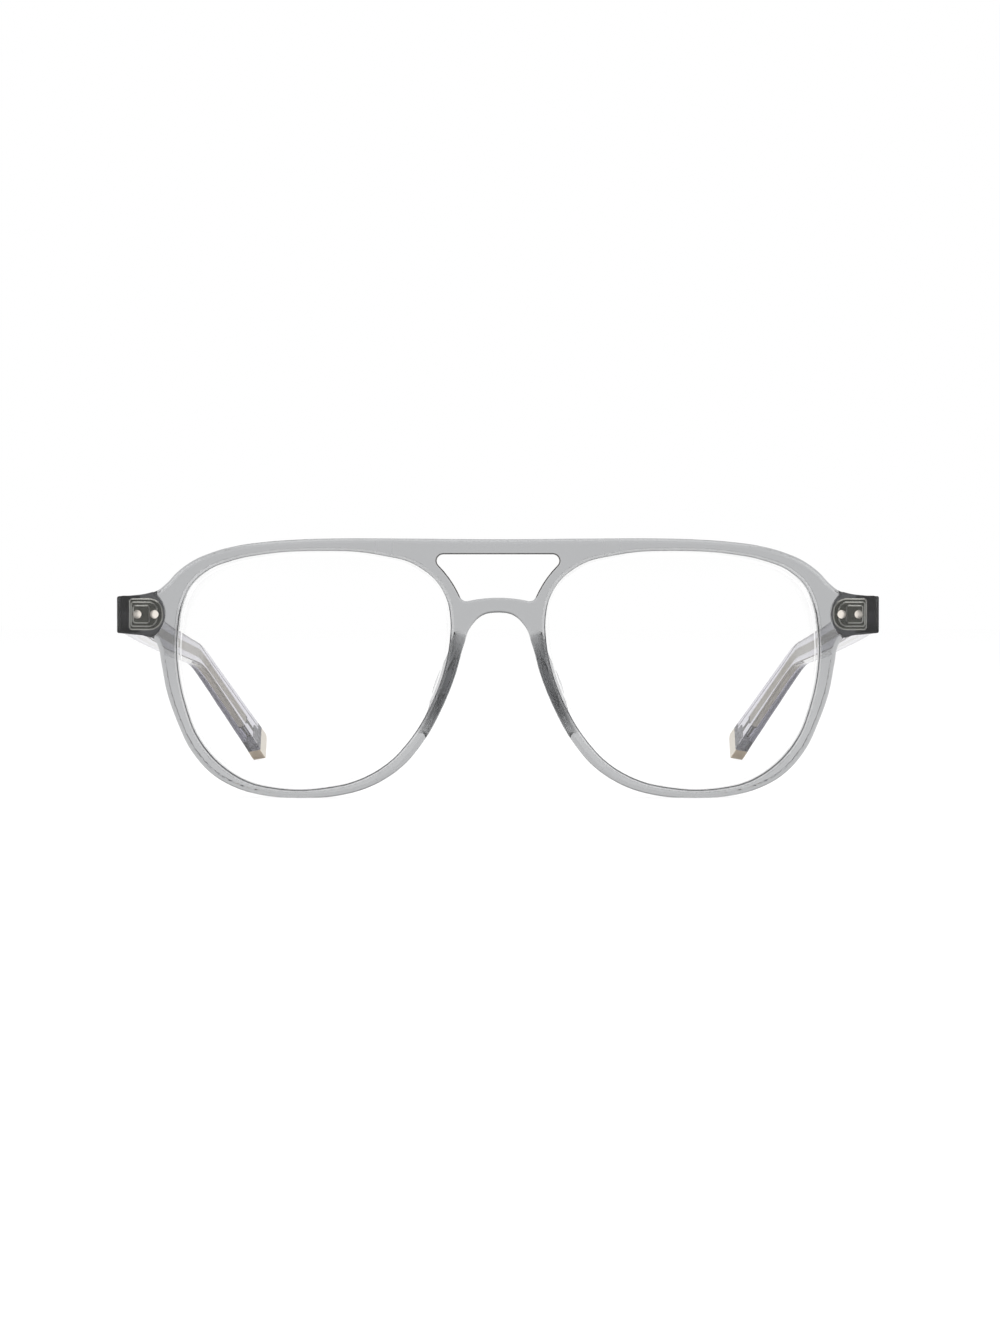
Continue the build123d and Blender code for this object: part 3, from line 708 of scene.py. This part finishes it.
def solid_temple(name):
    """A merged copy of a temple with its outer skin alone, closed at the joint of the cap."""
    work = merged_copy(name)
    skins = skins_of(work.faces)
    outer = max(skins, key=lambda skin: max(vert.co.z for face in skin for vert in face.verts))
    drop = [face for skin in skins if skin is not outer for face in skin]
    for face in outer:
        beyond, across, up = beyond_joint(face.calc_center_median())
        inside = across < pocket_half_thickness and up < pocket_half_height
        in_pocket = beyond > -pocket_depth and inside
        if in_pocket or beyond > -joint_tolerance:
            drop.append(face)
    bmesh.ops.delete(work, geom=drop, context="FACES")
    rim = [edge for edge in work.edges if len(edge.link_faces) == 1]
    closed = bmesh.ops.holes_fill(work, edges=rim, sides=0)["faces"]
    bmesh.ops.triangulate(work, faces=closed)
    for vert in work.verts:
        if beyond_joint(vert.co)[0] > -joint_tolerance:
            side = 1 if vert.co.x > 0 else -1
            vert.co += Vector((side * joint_along.x, joint_along.y, joint_along.z)) * cap_overlap
    open_edges = sum(1 for edge in work.edges if len(edge.link_faces) != 2)
    print(name, "has", len(skins), "skins;", len(closed), "faces close the end; open edges:", open_edges)
    add_piece(name + "_body", finished_mesh(work, nodes[name].data), name, name)


for side in ("left", "right"):
    solid_temple("temple_" + side)

# %% [markdown]
# ## Core wires
# A flat wire runs along the inside of each temple. The die left shallow grooves along it, and its end
# narrows to a tang that turned dark when it was heated. Geometry Nodes sweep the same rounded cut along the
# temple's line. Each point of the line carries the direction across the temple and the share of the full
# cut.

# %% Wire sweep
wire_sizes = {"Thickness": 1.0 * MM, "Width": 1.9 * MM, "Corner": 0.25 * MM}
corner_points = 4
cut_points = 96
# One groove for each full turn of a sine, which is 0.45 mm of the wire's width
groove_radians_per_mm = 14
groove_share = 0.05
wire_crease = math.radians(30)
wire_start = 14.0
wire_end = temple_mm - 12.0
neck_length = 0.6
tang_length = 4.8
tang_share = 0.48
run_gap = 0.01
line_step = 1.0


def wire_tree():
    """The node tree that sweeps a grooved flat cut along a line."""
    tree = bpy.data.node_groups.new("flat_wire_along_line", "GeometryNodeTree")
    face = tree.interface
    face.new_socket("Line", in_out="INPUT", socket_type="NodeSocketGeometry")
    for label, value in wire_sizes.items():
        socket = face.new_socket(label, in_out="INPUT", socket_type="NodeSocketFloat")
        socket.default_value = value
    face.new_socket("Finish", in_out="INPUT", socket_type="NodeSocketMaterial")
    face.new_socket("Wire", in_out="OUTPUT", socket_type="NodeSocketGeometry")
    given = tree.nodes.new("NodeGroupInput").outputs
    across = add(tree, "GeometryNodeInputNamedAttribute", {"Name": "across"}, data_type="FLOAT_VECTOR")
    share = add(tree, "GeometryNodeInputNamedAttribute", {"Name": "share"}, data_type="FLOAT")
    line = add(tree, "GeometryNodeMeshToCurve", {"Mesh": given["Line"]})
    turned = add(
        tree,
        "GeometryNodeSetCurveNormal",
        {"Curve": line.outputs[0], "Normal": across.outputs[0]},
        mode="FREE",
    )
    cut = add(
        tree,
        "GeometryNodeCurvePrimitiveQuadrilateral",
        {"Width": given["Thickness"], "Height": given["Width"]},
    )
    rounded = add(
        tree,
        "GeometryNodeFilletCurve",
        {"Curve": cut.outputs[0], "Count": corner_points, "Radius": given["Corner"], "Limit Radius": True},
        mode="POLY",
    )
    fine = add(tree, "GeometryNodeResampleCurve", {"Curve": rounded.outputs[0], "Count": cut_points})
    spot = add(tree, "ShaderNodeSeparateXYZ", {0: add(tree, "GeometryNodeInputPosition").outputs[0]})
    turns = {0: spot.outputs["Y"], 1: groove_radians_per_mm / MM}
    wave = add(tree, "ShaderNodeMath", turns, operation="MULTIPLY")
    groove = add(tree, "ShaderNodeMath", {0: wave.outputs[0]}, operation="SINE")
    deep = {0: groove.outputs[0], 1: groove_share, 2: 1.0}
    swell = add(tree, "ShaderNodeMath", deep, operation="MULTIPLY_ADD")
    wide = add(tree, "ShaderNodeMath", {0: spot.outputs["X"], 1: swell.outputs[0]}, operation="MULTIPLY")
    moved = add(tree, "ShaderNodeCombineXYZ", {0: wide.outputs[0], 1: spot.outputs["Y"]})
    grooved = add(
        tree,
        "GeometryNodeSetPosition",
        {"Geometry": fine.outputs[0], "Position": moved.outputs[0]},
    )
    swept = add(
        tree,
        "GeometryNodeCurveToMesh",
        {
            "Curve": turned.outputs[0],
            "Profile Curve": grooved.outputs[0],
            "Scale": share.outputs[0],
            "Fill Caps": True,
        },
    )
    finished = add(
        tree,
        "GeometryNodeSetMaterial",
        {"Geometry": swept.outputs[0], "Material": given["Finish"]},
    )
    real = add(tree, "GeometryNodeRealizeInstances", {"Geometry": finished.outputs[0]})
    out = tree.nodes.new("NodeGroupOutput")
    tree.links.new(real.outputs[0], out.inputs[0])
    return tree


def line_mesh(name, runs, side):
    """A mesh of open lines along the temple, from runs of first distance, last distance and share."""
    points = []
    edges = []
    turns = []
    shares = []
    for first, last, share in runs:
        count = max(2, round((last - first) / line_step))
        for index in range(count + 1):
            distance = first + (last - first) * index / count
            place = place_at(distance)
            turn = axes_at(distance)[1]
            if index:
                edges.append((len(points) - 1, len(points)))
            points.append((side * place.x, place.y, place.z))
            turns.extend((side * turn.x, turn.y, turn.z))
            shares.append(share)
    mesh = bpy.data.meshes.new(name)
    mesh.from_pydata(points, edges, [])
    mesh.attributes.new("across", "FLOAT_VECTOR", "POINT").data.foreach_set("vector", turns)
    mesh.attributes.new("share", "FLOAT", "POINT").data.foreach_set("value", shares)
    return mesh


def swept_piece(name, runs, side, finish, body, node):
    """A plain mesh made by the wire tree along some runs of the temple's line."""
    carrier = bpy.data.objects.new(name + "_line", line_mesh(name + "_line", runs, side))
    bpy.context.scene.collection.objects.link(carrier)
    modifier = carrier.modifiers.new("sweep", "NODES")
    modifier.node_group = flat_wire
    inputs = [item for item in flat_wire.interface.items_tree if item.in_out == "INPUT"]
    sockets = {item.name: item.identifier for item in inputs}
    for label, value in wire_sizes.items():
        modifier[sockets[label]] = value
    modifier[sockets["Finish"]] = finish
    bpy.context.view_layer.update()
    made = carrier.evaluated_get(bpy.context.evaluated_depsgraph_get())
    mesh = bpy.data.meshes.new_from_object(made)
    bpy.data.objects.remove(carrier)
    work = bmesh.new()
    work.from_mesh(mesh)
    bmesh.ops.recalc_face_normals(work, faces=work.faces)
    work.to_mesh(mesh)
    work.free()
    mesh.shade_smooth()
    mesh.set_sharp_from_angle(angle=wire_crease)
    print(name, len(mesh.polygons), "faces")
    add_piece(name, mesh, body, node)


flat_wire = wire_tree()
neck_end = wire_end + neck_length
for side, sign in (("left", 1), ("right", -1)):
    body = "temple_" + side
    node = "core_wire_" + side
    swept_piece(node + "_body", [(wire_start, wire_end, 1.0)], sign, wire_metal, body, node)
    neck = (wire_end + run_gap, neck_end, 1.0)
    tang = (neck_end + run_gap, wire_end + tang_length, tang_share)
    swept_piece("core_tang_" + side, [neck, tang], sign, tang_metal, body, node)

# %% View transform
bpy.context.scene.view_settings.view_transform = "Standard"
